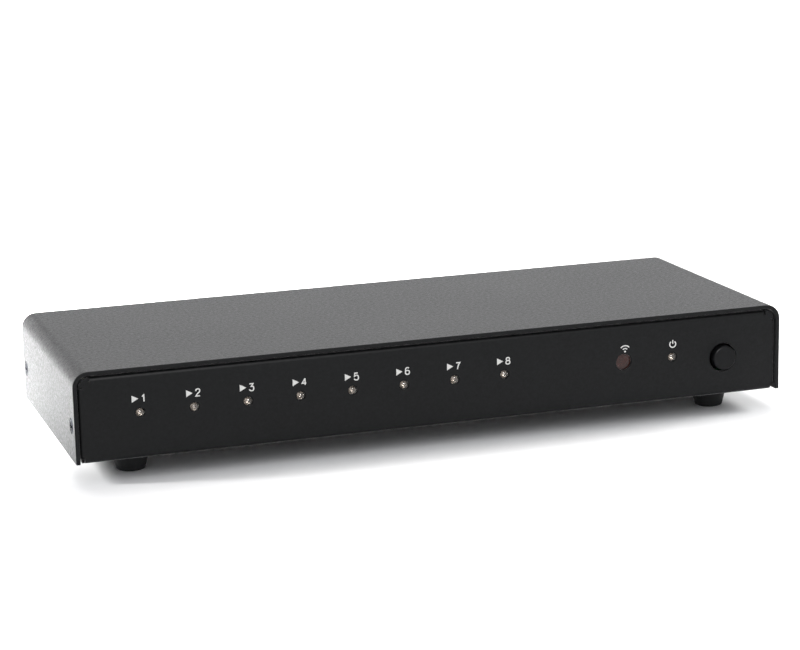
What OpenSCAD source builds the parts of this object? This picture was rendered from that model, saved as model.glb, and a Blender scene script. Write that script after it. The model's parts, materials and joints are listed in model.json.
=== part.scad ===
// Video input switch box: folded sheet-metal case, eight inputs and one output on the rear,
// a row of lights, a remote-control eye and one push button on the front.
// X runs along the front to the right, Y runs to the rear, Z is up; the feet stand on Z = 0.

/* [Case] */
// Outside width of the cover
case_w = 266; // [256:1:300]
// Outside depth of the cover
case_d = 100; // [94:1:130]
// Height of the case without its feet
case_h = 32.4; // [30:0.2:44]
// Sheet thickness of the cover
cover_t = 1.5; // [1:0.1:2]
// Outside radius of the cover's two long bends
bend_r = 5.4; // [4.2:0.1:8]
// Gap between the panels' upper edges and the cover
panel_gap = 0.7; // [0.4:0.1:1.2]
// How far the panels lie behind the cover's edges
panel_recess = 0.5; // [0.2:0.1:1.2]

/* [Chassis] */
// Sheet thickness of the chassis
chassis_t = 1.2; // [0.8:0.1:1.6]
// Inside radius of the chassis folds
fold_in = 0.4; // [0.2:0.1:0.8]
// Length of the side flanges that take the cover screws
flange_l = 12; // [10:0.5:16]
// Length of the returns bent inward at the panels' upper edges
return_l = 7; // [5:0.5:10]
// Size of the relief notches at the ends of the flanges and returns
relief_h = 0.5; // [0.4:0.1:1.5]
// Air between the side flanges and the cover
flange_air = 0.15; // [0.1:0.05:0.3]

/* [Feet] */
// Height of the rubber feet
foot_h = 7.2; // [5:0.1:12]
// Diameter of a foot where it meets the case
foot_top_d = 13.6; // [11:0.1:16]
// Diameter of a foot where it meets the table
foot_low_d = 10.4; // [9:0.1:14]
// Distance of the foot centres from the case sides
foot_side = 21.8; // [16:0.1:30]
// Distance of the foot centres from the front and rear
foot_end = 14.9; // [12:0.1:20]
// Depth of the screw recess in a foot
foot_recess = 3.6; // [3:0.1:4]

/* [Screws] */
// Thread diameter of all screws
screw_d = 2.9; // [2.5:0.1:3]
// Head diameter of the raised countersunk cover screws
csk_head_d = 5.5; // [5:0.1:6]
// Height of the low dome on a cover screw's head
csk_raise = 0.5; // [0.3:0.1:0.8]
// How deep the rim of a cover screw's head lies below the cover's face
csk_sink = 0.2; // [0.1:0.05:0.4]
// Length of the cover screws
csk_l = 6; // [5:0.5:8]
// Head diameter of the pan-head screws
pan_head_d = 5.6; // [5:0.1:6]
// Head height of the pan-head screws
pan_head_h = 1.9; // [1.5:0.1:2.2]
// Distance of the cover screws from the front and rear edges
screw_end = 5.8; // [5.2:0.1:8]
// Height of the cover screws above the underside of the case
screw_z = 12.6; // [9:0.1:18]
// Diametral clearance between a screw and its hole
screw_air = 0.1; // [0.06:0.02:0.3]

/* [Front panel] */
// Height of the lights above the underside of the case
light_z = 16.2; // [14.5:0.1:20]
// Centre distance of neighbouring input lights
light_pitch = 19.05; // [16:0.05:20]
// Distance of the first input light from the left side
light_from_left = 23.1; // [18:0.1:26]
// Distance of the power light from the right side
power_from_right = 43.5; // [38:0.1:48]
// Distance of the remote-control eye from the right side
eye_from_right = 62.9; // [58:0.1:70]
// Diameter of the eye's hole
eye_d = 6.1; // [5:0.1:6.6]
// Diameter of the light domes
light_d = 3; // [2.6:0.1:3.4]
// How far a light dome stands out of the panel
light_proud = 0.9; // [0.4:0.1:1.5]
// Clearance around a light in its hole
light_air = 0.15; // [0.1:0.05:0.3]

/* [Push button] */
// Height of the button above the underside of the case
button_z = 14.2; // [13:0.1:18]
// Distance of the button from the right side
button_from_right = 23; // [20:0.1:27]
// Diameter of the button cap
button_d = 9; // [8.8:0.1:11]
// Clearance around the cap in the panel
button_air = 0.85; // [0.25:0.05:1]
// How far the cap and the power socket stand out past the cover's edges
proud = 1.5; // [1.2:0.1:2]
// How far the button travels when pressed
button_travel = 1.5; // [1:0.1:1.8]
// Clearance of the sliding stem in the switch
stem_air = 0.1; // [0.05:0.05:0.2]

/* [Circuit board] */
// Thickness of the circuit board
board_t = 1.6; // [1:0.1:2]
// Height of the standoffs under the board
standoff_h = 6; // [5:0.1:6.5]
// Space between the board's ends and the case sides
board_side = 9; // [8:0.1:12]
// Space between the board and the insides of the panels
board_end = 2.2; // [1.5:0.1:2.6]

/* [Rear sockets] */
// Distance of the first input socket from the left side
socket_from_left = 29; // [24:0.5:32]
// Distance of the output socket from the right side
output_from_right = 41; // [38:0.5:44]
// Distance between the last input socket and the output socket
output_gap = 28; // [22:0.5:32]
// Distance of the power socket from the right side
jack_from_right = 21; // [18:0.5:24]
// Width of a video socket's mouth
socket_w = 14; // [13.6:0.1:14.4]
// Width of the mouth's lower edge
socket_low_w = 10; // [9.4:0.1:10.8]
// Height of the mouth
socket_h = 4.55; // [4.4:0.05:4.8]
// Sheet thickness of the socket shells
shell_t = 0.35; // [0.25:0.05:0.5]
// Length of a socket shell
socket_l = 11.5; // [10.5:0.1:13]
// How far the shells stand out of the rear panel
socket_proud = 0.8; // [0.3:0.1:1.5]
// Clearance around shells and power socket in the rear panel
cutout_air = 0.3; // [0.2:0.05:0.5]
// Bore of the power socket
jack_bore_d = 6.4; // [6:0.1:6.6]
// Diameter of the power socket's centre pin
jack_pin_d = 2.1; // [1.6:0.1:2.5]

/* [Hidden] */

steel_black = "#25262a";
screw_black = "#3a3b3f";
rubber_black = "#1b1b1c";
board_green = "#1f5a34";
zinc_grey = "#b9bcbf";
lens_grey = "#cfd0cc";
eye_brown = "#4a2c28";
abs_black = "#202123";
nickel_grey = "#c8c9c6";
resin_black = "#161617";
contact_gold = "#c9a24a";
chip_black = "#2a2b2d";

// Number of straight pieces of a circle in the preview
$fn = 64;
// Small air left between pieces that are made to seat in each other
seat_air = 0.05;
// Length that a cut runs on past the face it leaves through
cut_over = 1;

// Case
half_w = case_w / 2;
half_d = case_d / 2;
panel_y = half_d - panel_recess;
panel_in_y = panel_y - chassis_t;
panel_h = case_h - cover_t - panel_gap;
panel_corner_r = bend_r - cover_t - panel_gap;
fold_r = chassis_t + fold_in;
flange_x = half_w - cover_t - flange_air;
panel_half_w = flange_x - panel_gap;
flange_low = fold_r + relief_h;
flange_high = panel_h - panel_corner_r - relief_h;
return_half_w = panel_half_w - panel_corner_r - relief_h;

// Screws
thread_hole_d = screw_d + screw_air;
through_hole_d = screw_d + 3 * screw_air;
csk_land = 0.3;
csk_h = cover_t - csk_sink - csk_land;
csk_dome_r = (csk_head_d * csk_head_d / 4 + csk_raise * csk_raise) / (2 * csk_raise);
recess_w = 0.9;
recess_depth = 1.1;
csk_recess_depth = csk_raise + csk_h / 2;
pan_head_taper = 0.9;
cover_screw_y = half_d - screw_end;

// Feet
foot_x = half_w - foot_side;
foot_y = half_d - foot_end;
foot_round = 0.8;
foot_screw_over = 2.2;
foot_recess_air = 0.4;
foot_recess_d = pan_head_d + 2 * foot_recess_air;
foot_screw_l = foot_h - foot_recess + chassis_t + foot_screw_over;

// Board
board_half_w = half_w - board_side;
board_half_d = panel_in_y - board_end;
board_low = chassis_t + standoff_h;
board_top = board_low + board_t;
board_hole_side = 6;
board_hole_end = 20;
board_hole_x = board_half_w - board_hole_side;
board_hole_y = board_half_d - board_hole_end;
board_hole_xs = [-board_hole_x, 0, board_hole_x];
standoff_flat = 5.5;
standoff_shank_d = 4.2;
board_screw_grip = 4.5;
board_screw_l = board_t + board_screw_grip;
board_notch_air = 1;

// Lights and eye
light_r = light_d / 2;
light_l = 5.3;
light_rim_out = 0.4;
light_rim_r = light_r + light_rim_out;
light_rim_t = 1;
light_tip_y = -panel_y - light_proud;
light_back_y = light_tip_y + light_l;
light_xs = [for (i = [0:7]) -half_w + light_from_left + i * light_pitch];
power_light_x = half_w - power_from_right;
all_light_xs = concat(light_xs, [power_light_x]);
lead_t = 0.5;
lead_half_pitch = 1.27;
lead_run = 2.2;
lead_y = light_back_y + lead_run - lead_t / 2;
lead_hole_d = 0.9;
lead_below = 1.2;
eye_x = half_w - eye_from_right;
eye_window_t = 1;
eye_window_lap = 1;
eye_window_d = eye_d + 2 * eye_window_lap;
eye_dome_r = 2.4;
eye_dome_out = 1.4;
eye_body_w = 6.2;
eye_body_t = 3.4;
eye_body_h = 7.4;
eye_air = 0.3;
eye_front_y = -panel_in_y + eye_window_t + eye_air;
eye_body_y = eye_front_y + eye_dome_out;
eye_lead_y = eye_body_y + eye_body_t / 2;

// Button and its switch
button_x = half_w - button_from_right;
button_r = button_d / 2;
button_round = 0.7;
button_tip_y = -half_d - proud;
cap_inside = 2.1;
cap_l = proud + panel_recess + chassis_t + cap_inside;
cap_back_y = button_tip_y + cap_l;
cap_wall = 1.1;
cap_face_t = 1.4;
stem_w = 3.3;
boss_wall = 0.65;
boss_w = stem_w + 2 * boss_wall;
stem_grip = cap_l - cap_face_t;
switch_set = 3.4;
switch_front_y = cap_back_y + button_travel + switch_set;
switch_wall = 1.3;
switch_cavity_w = 5.2;
switch_l = 9;
switch_w = 8.4;
switch_base_t = 1.5;
switch_axis = button_z - board_top;
switch_top = switch_axis + switch_w / 2;
stem_foot_t = 1.2;
stem_foot_w = switch_cavity_w - 2 * stem_air;
stem_foot_y = switch_front_y + switch_wall + stem_air;
spring_wire_r = 0.2;
spring_mean_r = 1.7;
spring_turns = 5;
spring_y = stem_foot_y + stem_foot_t + seat_air + spring_wire_r;
switch_inside_y = switch_front_y + switch_l - switch_base_t;
spring_l = switch_inside_y - seat_air - spring_wire_r - spring_y;
pin_d = 0.8;
pin_hole_air = 0.15;
pin_hole_d = pin_d + 2 * pin_hole_air;
pin_into = 1;
pin_spread_x = 2.4;
pin_inset_y = switch_base_t / 2;

// Rear sockets
output_x = half_w - output_from_right;
socket_first_x = socket_from_left - half_w;
socket_pitch = (output_x - output_gap - socket_first_x) / 7;
socket_xs = [for (i = [0:7]) socket_first_x + i * socket_pitch];
all_socket_xs = concat(socket_xs, [output_x]);
socket_low = board_top + shell_t;
socket_side_h = socket_h * 0.6;
socket_mouth_y = panel_y + socket_proud;
socket_back_y = socket_mouth_y - socket_l;
leg_w = 1.2;
leg_below = 0.7;
leg_slot_air = 0.25;
leg_first = 1.5;
leg_apart = 3.7;
leg_ys = [socket_back_y + leg_first, socket_back_y + leg_first + leg_apart];
insulator_l = 3.6;
tongue_w = 11;
tongue_t = 1.5;
tongue_setback = 1.2;
tongue_low = socket_low + (socket_h - tongue_t) / 2;
tongue_y = socket_back_y + insulator_l;
tongue_l = socket_l - insulator_l - tongue_setback;
contact_w = 0.5;
contact_t = 0.12;
contact_setback = 0.6;
contact_l = tongue_l - contact_setback;
contact_pitch = 1;
finger_w = 2;
finger_l = 5;
finger_gap = 0.4;
finger_tilt = 3;
finger_x = 3.2;
finger_setback = 0.8;
finger_y = socket_back_y + insulator_l + finger_setback;

// Power socket
jack_x = half_w - jack_from_right;
jack_axis_h = 6.4;
jack_axis = board_top + jack_axis_h;
jack_body_w = 9;
jack_body_h = 10.9;
jack_body_l = 13;
jack_air = 0.2;
jack_face_y = panel_in_y - jack_air;
jack_nose_wall = 1.1;
jack_nose_d = jack_bore_d + 2 * jack_nose_wall;
jack_nose_root = 1;
jack_tip_y = half_d + proud;
jack_bore_l = 10;
jack_pin_setback = 0.9;
jack_groove_w = 2.6;
jack_groove_depth = 0.6;
jack_groove_end = 1;
jack_leaf_t = 0.3;
jack_leaf_w = 2.2;
jack_leaf_l = 7;
jack_leaf_air = 0.1;
jack_leaf_tilt = 4;
jack_tab_w = 2;
jack_tab_t = 0.4;
jack_tab_first = 1;
jack_tab_apart = 6;
jack_back_y = jack_face_y - jack_body_l;
jack_tab_ys = [jack_back_y + jack_tab_first, jack_back_y + jack_tab_first + jack_tab_apart];

// Parts on the board
chip_w = 10;
chip_t = 0.9;
chip_mark_depth = 0.1;
chip_y = 10;
chip_xs = [socket_xs[1] + socket_pitch / 2, socket_xs[5] + socket_pitch / 2, output_x - socket_pitch / 2];
controller_w = 7;
controller_left = 16;
controller_x = eye_x - controller_left;
controller_y = -18;
crystal_l = 11;
crystal_w = 4.6;
crystal_h = 3.6;
crystal_ahead = 10;
crystal_y = controller_y - crystal_ahead;
can_d = 6.3;
can_h = 7.7;
can_foot_t = 1;
can_foot_lip = 0.1;
can_left = 2.5;
can_apart = 8;
can_ahead = 8;
far_can_right = 4;
far_can_ahead = 36;
can_spots = [
  [jack_x - can_left, jack_back_y - can_ahead],
  [jack_x - can_left - can_apart, jack_back_y - can_ahead],
  [jack_x + far_can_right, jack_back_y - far_can_ahead]
];
coil_w = 7;
coil_h = 4;
coil_lip = 0.5;
coil_ahead = 18;
coil_y = jack_back_y - coil_ahead;
regulator_ahead = 26.5;
regulator_y = jack_back_y - regulator_ahead;
regulator_w = 6.5;
regulator_d = 3.5;
regulator_h = 1.6;
regulator_tab_w = 3;
regulator_leg_w = 0.7;
regulator_leg_l = 1.7;
regulator_leg_t = 0.4;
regulator_leg_pitch = 2.3;

// Flat figure standing on its lower edge, with both upper corners rounded
module arch(w, h, r) {
  translate([-w / 2, 0])
    square([w, h - r]);
  translate([r - w / 2, 0])
    square([w - 2 * r, h]);
  for (side = [-1, 1])
    translate([side * (w / 2 - r), h - r])
      circle(r);
}

// Flat figure, its first axis laid along X and its second along Z, drawn out along Y
module along_y(y_end, length) {
  translate([0, y_end, 0])
    rotate([90, 0, 0])
      linear_extrude(height = length)
        children();
}

// Flat figure, its first axis laid along Y and its second along Z, drawn out along X
module along_x(length) {
  rotate([90, 0, 90])
    linear_extrude(height = length, center = true)
      children();
}

// Round rod that starts at a point and runs along Y to the rear
module rod_y(x, y, z, d, length) {
  translate([x, y, z])
    rotate([-90, 0, 0])
      cylinder(d = d, h = length);
}

// Same thing in all four corners of the case
module four_corners() {
  for (side = [0, 1])
    for (end = [0, 1])
      mirror([side, 0, 0])
        mirror([0, end, 0])
          children();
}

// Mouth of a video socket, grown outward by a margin; the slanted sides stay parallel
module socket_figure(margin) {
  cut = (socket_w - socket_low_w) / 2;
  slant = sqrt(cut * cut + socket_side_h * socket_side_h);
  nx = socket_side_h / slant;
  nz = cut / slant;
  knee_z = socket_side_h - margin * (1 - nx) / nz;
  foot_half = socket_low_w / 2 + margin * (1 - nz) / nx;
  top_half = socket_w / 2 + margin;
  polygon([
    [-top_half, socket_h + margin],
    [top_half, socket_h + margin],
    [top_half, knee_z],
    [foot_half, -margin],
    [-foot_half, -margin],
    [-top_half, knee_z]
  ]);
}

// Crossed slots of a screw head, cut downward from Z = 0
module cross_recess(size, depth) {
  for (turn = [0, 90])
    rotate([0, 0, turn])
      translate([-size / 2, -recess_w / 2, -depth])
        cube([size, recess_w, depth + cut_over]);
}

// Pan-head screw pointing up, the seat of its head at Z = 0
module pan_screw(length) {
  difference() {
    translate([0, 0, -pan_head_h])
      cylinder(d1 = pan_head_d - pan_head_taper, d2 = pan_head_d, h = pan_head_h);
    translate([0, 0, -pan_head_h])
      mirror([0, 0, 1])
        cross_recess(pan_head_d * 0.6, recess_depth);
  }
  cylinder(d = screw_d, h = length);
}

// Raised countersunk screw pointing down, the rim of its head at Z = 0
module countersunk_screw() {
  difference() {
    union() {
      intersection() {
        translate([0, 0, csk_raise - csk_dome_r])
          sphere(csk_dome_r);
        cylinder(d = csk_head_d, h = csk_raise + cut_over);
      }
      translate([0, 0, -csk_h])
        cylinder(d1 = screw_d, d2 = csk_head_d, h = csk_h);
      translate([0, 0, -csk_l])
        cylinder(d = screw_d, h = csk_l - csk_h);
    }
    translate([0, 0, csk_raise])
      cross_recess(csk_head_d * 0.6, csk_recess_depth);
  }
}

// Bent cover: the top and both sides in one sheet, countersunk for four screws
module cover() color(steel_black) {
  difference() {
    translate([0, 0, foot_h])
      along_y(half_d, case_d)
        difference() {
          arch(case_w, case_h, bend_r);
          translate([0, -cut_over])
            arch(case_w - 2 * cover_t, case_h - cover_t + cut_over, bend_r - cover_t);
        }
    four_corners()
      translate([half_w - csk_sink, cover_screw_y, foot_h + screw_z])
        rotate([0, 90, 0])
          cover_screw_hole();
  }
}

// Countersunk hole for a cover screw, the rim of the screw's head at Z = 0
module cover_screw_hole() {
  seat_d = csk_head_d + 2 * seat_air;
  translate([0, 0, -csk_h - csk_land - cut_over])
    cylinder(d = through_hole_d, h = csk_h + csk_land + 2 * cut_over);
  translate([0, 0, -csk_h])
    cylinder(d1 = screw_d + 2 * seat_air, d2 = seat_d, h = csk_h);
  cylinder(d1 = seat_d, d2 = seat_d + 2 * csk_sink, h = csk_sink);
}

// Folded sheet seen from the side: front panel, floor and rear panel
module channel_figure() {
  difference() {
    translate([0, panel_h])
      mirror([0, 1])
        arch(2 * panel_y, panel_h, fold_r);
    translate([0, panel_h + cut_over])
      mirror([0, 1])
        arch(2 * panel_in_y, panel_h + cut_over - chassis_t, fold_in);
  }
}

// Sheet of the rear panel seen from above, with the side flanges bent forward at both ends
module flange_figure() {
  translate([0, panel_y - flange_l])
    difference() {
      arch(2 * flange_x, flange_l, fold_r);
      translate([0, -cut_over])
        arch(2 * (flange_x - chassis_t), flange_l - chassis_t + cut_over, fold_in);
    }
}

// Upper ends of both panels seen from the side, each with its return bent inward
module return_figure() {
  translate([0, panel_h - return_l])
    difference() {
      arch(2 * panel_y, return_l, fold_r);
      translate([0, -cut_over])
        arch(2 * panel_in_y, return_l - chassis_t + cut_over, fold_in);
      translate([return_l - panel_y, -cut_over])
        square([2 * (panel_y - return_l), return_l + 2 * cut_over]);
    }
}

// Chassis: the folded sheet with its screw flanges, stiffening returns and every hole in it
module chassis() color(steel_black) translate([0, 0, foot_h]) {
  difference() {
    union() {
      difference() {
        intersection() {
          along_x(2 * panel_half_w)
            channel_figure();
          along_y(half_d, case_d)
            arch(2 * panel_half_w, panel_h, panel_corner_r);
        }
        four_corners()
          translate([flange_x - fold_r, panel_y - fold_r, -cut_over])
            cube([fold_r + cut_over, fold_r + cut_over, flange_high + relief_h + cut_over]);
        translate([-return_half_w - relief_h, -half_d, panel_h - fold_r])
          cube([2 * (return_half_w + relief_h), case_d, fold_r + cut_over]);
      }
      along_x(2 * return_half_w)
        return_figure();
      for (end = [0, 1])
        mirror([0, end, 0])
          translate([0, 0, flange_low])
            linear_extrude(height = flange_high - flange_low)
              flange_figure();
    }
    four_corners() {
      translate([flange_x - chassis_t - cut_over, cover_screw_y, screw_z])
        rotate([0, 90, 0])
          cylinder(d = thread_hole_d, h = chassis_t + 2 * cut_over);
      translate([foot_x, foot_y, -cut_over])
        cylinder(d = thread_hole_d, h = chassis_t + 2 * cut_over);
    }
    front_holes();
    rear_holes();
    standoff_holes();
  }
}

// Holes of the lights, the eye and the button
module front_holes() {
  for (x = all_light_xs)
    rod_y(x, -half_d, light_z, light_d + 2 * light_air, panel_recess + chassis_t + cut_over);
  rod_y(eye_x, -half_d, light_z, eye_d, panel_recess + chassis_t + cut_over);
  rod_y(button_x, -half_d, button_z, button_d + 2 * button_air, panel_recess + chassis_t + cut_over);
}

// Cut-outs of the video sockets and of the power socket
module rear_holes() {
  for (x = all_socket_xs)
    translate([x, 0, socket_low])
      along_y(half_d, panel_recess + chassis_t + cut_over)
        socket_figure(shell_t + cutout_air);
  rod_y(jack_x, panel_in_y - cut_over, jack_axis, jack_nose_d + 2 * cutout_air, chassis_t + 2 * cut_over);
}

// Round holes that the standoffs are pressed into
module standoff_holes() {
  for (x = board_hole_xs)
    for (y = [-board_hole_y, board_hole_y])
      translate([x, y, -cut_over])
        cylinder(d = standoff_shank_d + 2 * seat_air, h = chassis_t + 2 * cut_over);
}

// Four raised countersunk screws that hold the cover
module cover_screws() color(screw_black) {
  four_corners()
    translate([half_w - csk_sink, cover_screw_y, foot_h + screw_z])
      rotate([0, 90, 0])
        countersunk_screw();
}

// Tapered rubber foot with a rounded tread and a deep screw recess
module foot(x, y) {
  low_r = foot_low_d / 2;
  translate([x, y, 0])
    difference() {
      rotate_extrude() {
        polygon([
          [0, 0],
          [low_r - foot_round, 0],
          [low_r, foot_round],
          [foot_top_d / 2, foot_h],
          [0, foot_h]
        ]);
        translate([low_r - foot_round, foot_round])
          circle(foot_round);
      }
      translate([0, 0, -cut_over])
        cylinder(d = foot_recess_d, h = foot_recess + cut_over);
      cylinder(d = through_hole_d, h = foot_h + cut_over);
    }
}

module foot_front_left() color(rubber_black) foot(-foot_x, -foot_y);
module foot_front_right() color(rubber_black) foot(foot_x, -foot_y);
module foot_rear_left() color(rubber_black) foot(-foot_x, foot_y);
module foot_rear_right() color(rubber_black) foot(foot_x, foot_y);

// Screws that hold the feet, their heads up inside the recesses
module foot_screws() color(zinc_grey) {
  four_corners()
    translate([foot_x, foot_y, foot_recess])
      pan_screw(foot_screw_l);
}

// Circuit board with the holes of everything that is pushed through it
module main_board() color(board_green) translate([0, 0, foot_h]) {
  difference() {
    translate([-board_half_w, -board_half_d, board_low])
      cube([2 * board_half_w, 2 * board_half_d, board_t]);
    translate([0, 0, board_low - cut_over])
      board_holes(board_t + 2 * cut_over);
    translate([button_x - button_r - board_notch_air, -half_d, board_low - cut_over])
      cube([
        button_d + 2 * board_notch_air,
        cap_back_y + button_travel + board_notch_air + half_d,
        board_t + 2 * cut_over
      ]);
  }
}

// Every hole of the board, drawn upward from Z = 0
module board_holes(height) {
  for (x = board_hole_xs)
    for (y = [-board_hole_y, board_hole_y])
      translate([x, y, 0])
        cylinder(d = through_hole_d, h = height);
  for (x = all_light_xs)
    for (side = [-1, 1])
      translate([x + side * lead_half_pitch, lead_y, 0])
        cylinder(d = lead_hole_d, h = height);
  for (step = [-1, 0, 1])
    translate([eye_x + 2 * step * lead_half_pitch, eye_lead_y, 0])
      cylinder(d = lead_hole_d, h = height);
  for (side = [-1, 1])
    translate([button_x + side * pin_spread_x, switch_inside_y + pin_inset_y, 0])
      cylinder(d = pin_hole_d, h = height);
  for (x = all_socket_xs)
    for (y = leg_ys)
      for (side = [0, 1])
        translate([x, y, 0])
          mirror([side, 0, 0])
            translate([socket_w / 2 - leg_slot_air, -leg_slot_air, 0])
              cube([shell_t + 2 * leg_slot_air, leg_w + 2 * leg_slot_air, height]);
  for (y = jack_tab_ys)
    translate([jack_x - jack_tab_w / 2 - leg_slot_air, y - leg_slot_air, 0])
      cube([jack_tab_w + 2 * leg_slot_air, jack_tab_t + 2 * leg_slot_air, height]);
}

// Six hexagonal standoffs, their lower ends pressed into the floor of the chassis
module board_standoffs() color(zinc_grey) translate([0, 0, foot_h]) {
  for (x = board_hole_xs)
    for (y = [-board_hole_y, board_hole_y])
      translate([x, y, 0])
        difference() {
          union() {
            cylinder(d = standoff_shank_d, h = chassis_t);
            translate([0, 0, chassis_t])
              cylinder(d = standoff_flat / cos(30), h = standoff_h, $fn = 6);
          }
          translate([0, 0, chassis_t])
            cylinder(d = thread_hole_d, h = standoff_h + cut_over);
        }
}

// Six screws that hold the board on its standoffs
module board_screws() color(zinc_grey) translate([0, 0, foot_h]) {
  for (x = board_hole_xs)
    for (y = [-board_hole_y, board_hole_y])
      translate([x, y, board_top])
        mirror([0, 0, 1])
          pan_screw(board_screw_l);
}

// Round-headed light lying along Y, its dome to the front and its rim behind the panel
module panel_light(x) {
  translate([x, light_tip_y, foot_h + light_z])
    rotate([-90, 0, 0]) {
      translate([0, 0, light_r])
        sphere(light_r);
      translate([0, 0, light_r])
        cylinder(r = light_r, h = light_l - light_r);
      translate([0, 0, light_l - light_rim_t])
        cylinder(r = light_rim_r, h = light_rim_t);
    }
}

module input_light_1() color(lens_grey) panel_light(light_xs[0]);
module input_light_2() color(lens_grey) panel_light(light_xs[1]);
module input_light_3() color(lens_grey) panel_light(light_xs[2]);
module input_light_4() color(lens_grey) panel_light(light_xs[3]);
module input_light_5() color(lens_grey) panel_light(light_xs[4]);
module input_light_6() color(lens_grey) panel_light(light_xs[5]);
module input_light_7() color(lens_grey) panel_light(light_xs[6]);
module input_light_8() color(lens_grey) panel_light(light_xs[7]);
module power_light() color(lens_grey) panel_light(power_light_x);

// Tinned wires: two bent ones behind each light, three straight ones under the eye
module lead_wires() color(nickel_grey) translate([0, 0, foot_h]) {
  low = board_low - lead_below;
  for (x = all_light_xs)
    for (side = [-1, 1])
      translate([x + side * lead_half_pitch - lead_t / 2, light_back_y, 0]) {
        translate([0, 0, light_z - lead_t / 2])
          cube([lead_t, lead_run, lead_t]);
        translate([0, lead_run - lead_t, low])
          cube([lead_t, lead_t, light_z + lead_t / 2 - low]);
      }
  for (step = [-1, 0, 1])
    translate([eye_x + 2 * step * lead_half_pitch - lead_t / 2, eye_lead_y - lead_t / 2, low])
      cube([lead_t, lead_t, light_z - eye_body_h / 2 - low]);
}

// Tinted disc fixed behind the eye's hole
module eye_window() color(eye_brown) {
  rod_y(eye_x, -panel_in_y, foot_h + light_z, eye_window_d, eye_window_t);
}

// Receiver block with a domed lens that looks through the disc
module eye_receiver() color(eye_brown) translate([eye_x, 0, foot_h + light_z]) {
  translate([-eye_body_w / 2, eye_body_y, -eye_body_h / 2])
    cube([eye_body_w, eye_body_t, eye_body_h]);
  intersection() {
    translate([0, eye_front_y + eye_dome_r, 0])
      sphere(eye_dome_r);
    translate([-eye_dome_r, eye_front_y - cut_over, -eye_dome_r])
      cube([2 * eye_dome_r, eye_dome_out + 2 * cut_over, 2 * eye_dome_r]);
  }
}

// Hollow round cap with a rounded face, and a square boss inside that grips the stem
module button_cap() color(abs_black) {
  translate([button_x, button_tip_y, foot_h + button_z])
    rotate([-90, 0, 0]) {
      difference() {
        union() {
          translate([0, 0, button_round])
            cylinder(r = button_r, h = cap_l - button_round);
          cylinder(r = button_r - button_round, h = cap_l);
          translate([0, 0, button_round])
            rotate_extrude()
              translate([button_r - button_round, 0])
                circle(button_round);
        }
        translate([0, 0, cap_face_t])
          cylinder(r = button_r - cap_wall, h = cap_l);
      }
      difference() {
        translate([-boss_w / 2, -boss_w / 2, cap_face_t])
          cube([boss_w, boss_w, stem_grip]);
        translate([-stem_w / 2, -stem_w / 2, cap_face_t])
          cube([stem_w, stem_w, stem_grip + cut_over]);
      }
    }
}

// Square stem from the cap into the switch, with a wider foot that keeps it inside
module button_stem() color(lens_grey) translate([button_x, 0, foot_h + button_z]) {
  translate([-stem_w / 2, button_tip_y + cap_face_t, -stem_w / 2])
    cube([stem_w, stem_foot_y - button_tip_y - cap_face_t, stem_w]);
  translate([-stem_foot_w / 2, stem_foot_y, -stem_foot_w / 2])
    cube([stem_foot_w, stem_foot_t, stem_foot_w]);
}

// Housing of the push switch, open to the rear, with a square guide for the stem
module switch_body() color(abs_black) translate([button_x, switch_front_y, foot_h]) {
  guide_w = stem_w + 2 * stem_air;
  difference() {
    translate([-switch_w / 2, 0, board_top])
      cube([switch_w, switch_l - switch_base_t, switch_top]);
    translate([-guide_w / 2, -cut_over, button_z - guide_w / 2])
      cube([guide_w, switch_l, guide_w]);
    translate([-switch_cavity_w / 2, switch_wall, button_z - switch_cavity_w / 2])
      cube([switch_cavity_w, switch_l, switch_cavity_w]);
  }
}

// Rear plate of the switch with two pins through the board
module switch_base() color(resin_black) translate([button_x, switch_inside_y, foot_h]) {
  translate([-switch_w / 2, 0, board_top])
    cube([switch_w, switch_base_t, switch_top]);
  for (side = [-1, 1])
    translate([side * pin_spread_x, pin_inset_y, board_low - lead_below])
      cylinder(d = pin_d, h = board_t + lead_below + pin_into);
}

// Round wire wound about Z, given as rings of points that are joined to a closed skin
module coil_spring(mean_r, wire_r, turns, length, steps, sides) {
  last = turns * steps;
  skin = [
    for (i = [0:last])
      for (k = [0:sides - 1])
        let (a = 360 * i / steps, b = 360 * k / sides, r = mean_r + wire_r * cos(b))
          [r * cos(a), r * sin(a), length * i / last + wire_r * sin(b)]
  ];
  walls = [
    for (i = [0:last - 1])
      for (k = [0:sides - 1])
        let (p = i * sides + k, q = i * sides + (k + 1) % sides)
          for (flip = [0, 1])
            flip == 0 ? [p, p + sides, q] : [q, p + sides, q + sides]
  ];
  ends = [
    [for (k = [0:sides - 1]) k],
    [for (k = [0:sides - 1]) last * sides + sides - 1 - k]
  ];
  polyhedron(points = skin, faces = concat(walls, ends));
}

// Return spring between the foot of the stem and the rear plate
module switch_spring() color(zinc_grey) {
  translate([button_x, spring_y, foot_h + button_z])
    rotate([-90, 0, 0])
      coil_spring(spring_mean_r, spring_wire_r, spring_turns, spring_l, 16, 6);
}

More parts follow.
